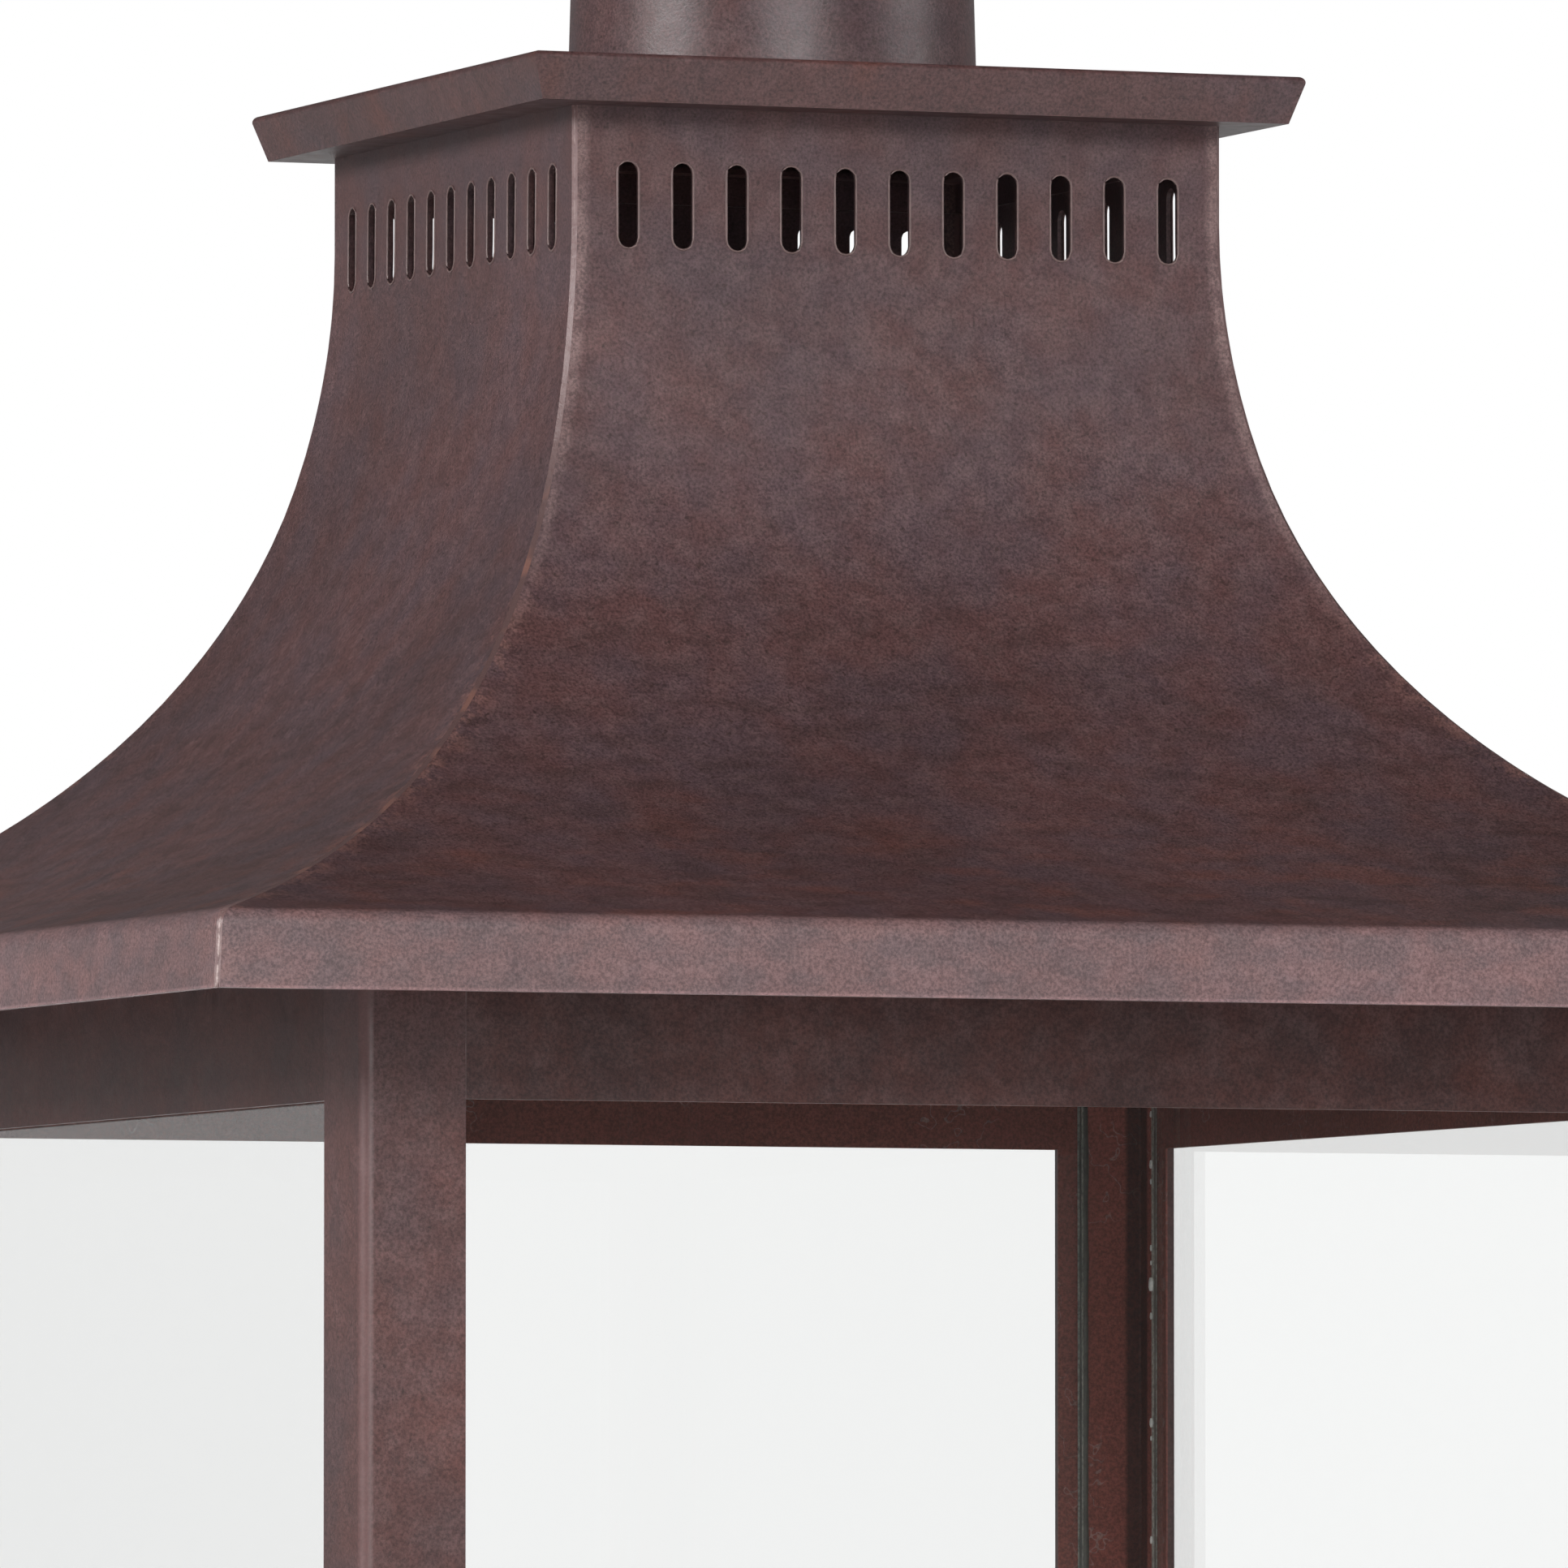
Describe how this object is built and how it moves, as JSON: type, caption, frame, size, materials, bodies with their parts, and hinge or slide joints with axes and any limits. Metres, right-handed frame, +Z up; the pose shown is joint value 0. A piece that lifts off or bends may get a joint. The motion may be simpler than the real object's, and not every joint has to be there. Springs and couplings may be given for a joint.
{
  "type": "post top lantern",
  "caption": "Square post top lantern with a concave vented roof, round chimney and hat, clear glass panes, candle lamps and a set-screw collar for a round post.",
  "frame": {"origin": "centre of the mouth of the fitter collar, on its axis", "axes": "+Z up along the post, front window facing -Y, +X to the right seen from the front"},
  "size_m": [0.305, 0.305, 0.6493],
  "materials": {
    "bronze_patina": "hand-rubbed dark red-brown patina, cloudy and grained",
    "solder_seam": "patinated solder, a little lighter and rougher than the sheet",
    "window_glass": "clear, polished, ground edges",
    "bulb_glass": "clear, polished",
    "candle_sleeve": "ivory, matt",
    "lamp_holder": "black phenolic",
    "bulb_cap": "bright rolled thread",
    "plated_steel": "zinc plated",
    "ground_brass": "green-tinted earth screw",
    "screw_steel": "patinated to match"
  },
  "bodies": {
    "cage": {"base_pan": "bronze_patina", "bottom_rail_back": "bronze_patina", "bottom_rail_front": "bronze_patina", "bottom_rail_left": "bronze_patina", "bottom_rail_right": "bronze_patina", "bulb_caps": "bulb_cap", "bulb_glass_1": "bulb_glass", "bulb_glass_2": "bulb_glass", "bulb_glass_3": "bulb_glass", "candle_cups": "bronze_patina", "candle_sleeve_1": "candle_sleeve", "candle_sleeve_2": "candle_sleeve", "candle_sleeve_3": "candle_sleeve", "cluster_cup": "bronze_patina", "cluster_plate": "bronze_patina", "cluster_stem": "plated_steel", "corner_post_back_left": "bronze_patina", "corner_post_back_right": "bronze_patina", "corner_post_front_left": "bronze_patina", "corner_post_front_right": "bronze_patina", "fitter_collar": "bronze_patina", "flared_cup": "bronze_patina", "glass_clips": "bronze_patina", "glass_pane_back": "window_glass", "glass_pane_front": "window_glass", "glass_pane_left": "window_glass", "glass_pane_right": "window_glass", "ground_screw": "ground_brass", "lamp_holders": "lamp_holder", "set_screw_nuts": "bronze_patina", "stem_nuts": "plated_steel", "thumb_screw_nuts": "plated_steel", "top_rail_back": "bronze_patina", "top_rail_front": "bronze_patina", "top_rail_left": "bronze_patina", "top_rail_right": "bronze_patina"},
    "roof": {"cap": "bronze_patina", "chimney_hat": "bronze_patina", "chimney_rim": "bronze_patina", "chimney_tube": "bronze_patina", "finial": "bronze_patina", "hat_crossbar": "bronze_patina", "hat_nut": "plated_steel", "hat_spacer": "bronze_patina", "hat_stud": "plated_steel", "hip_seams": "solder_seam", "neck_angle": "bronze_patina", "roof_panel_back": "bronze_patina", "roof_panel_front": "bronze_patina", "roof_panel_left": "bronze_patina", "roof_panel_right": "bronze_patina", "soffit_back": "bronze_patina", "soffit_front": "bronze_patina", "soffit_left": "bronze_patina", "soffit_right": "bronze_patina"},
    "set_screw_1": {"set_screw_1": "screw_steel"},
    "set_screw_2": {"set_screw_2": "screw_steel"},
    "set_screw_3": {"set_screw_3": "screw_steel"},
    "thumb_screw_back": {"thumb_screw_back": "bronze_patina"},
    "thumb_screw_front": {"thumb_screw_front": "bronze_patina"}
  },
  "joints": [
    {"name": "roof_lift", "type": "slide", "parent": "cage", "child": "roof", "axis": [0, 0, 1], "range_m": [0, 0.2]},
    {"name": "thumb_screw_front_travel", "type": "slide", "parent": "cage", "child": "thumb_screw_front", "axis": [0, -1, 0], "range_m": [0, 0.008]},
    {"name": "thumb_screw_back_travel", "type": "slide", "parent": "cage", "child": "thumb_screw_back", "axis": [0, 1, 0], "range_m": [0, 0.008]},
    {"name": "set_screw_1_travel", "type": "slide", "parent": "cage", "child": "set_screw_1", "axis": [0, 1, 0], "range_m": [-0.0007, 0.008]},
    {"name": "set_screw_2_travel", "type": "slide", "parent": "cage", "child": "set_screw_2", "axis": [-0.866, -0.5, 0], "range_m": [-0.0007, 0.008]},
    {"name": "set_screw_3_travel", "type": "slide", "parent": "cage", "child": "set_screw_3", "axis": [0.866, -0.5, 0], "range_m": [-0.0007, 0.008]}
  ]
}
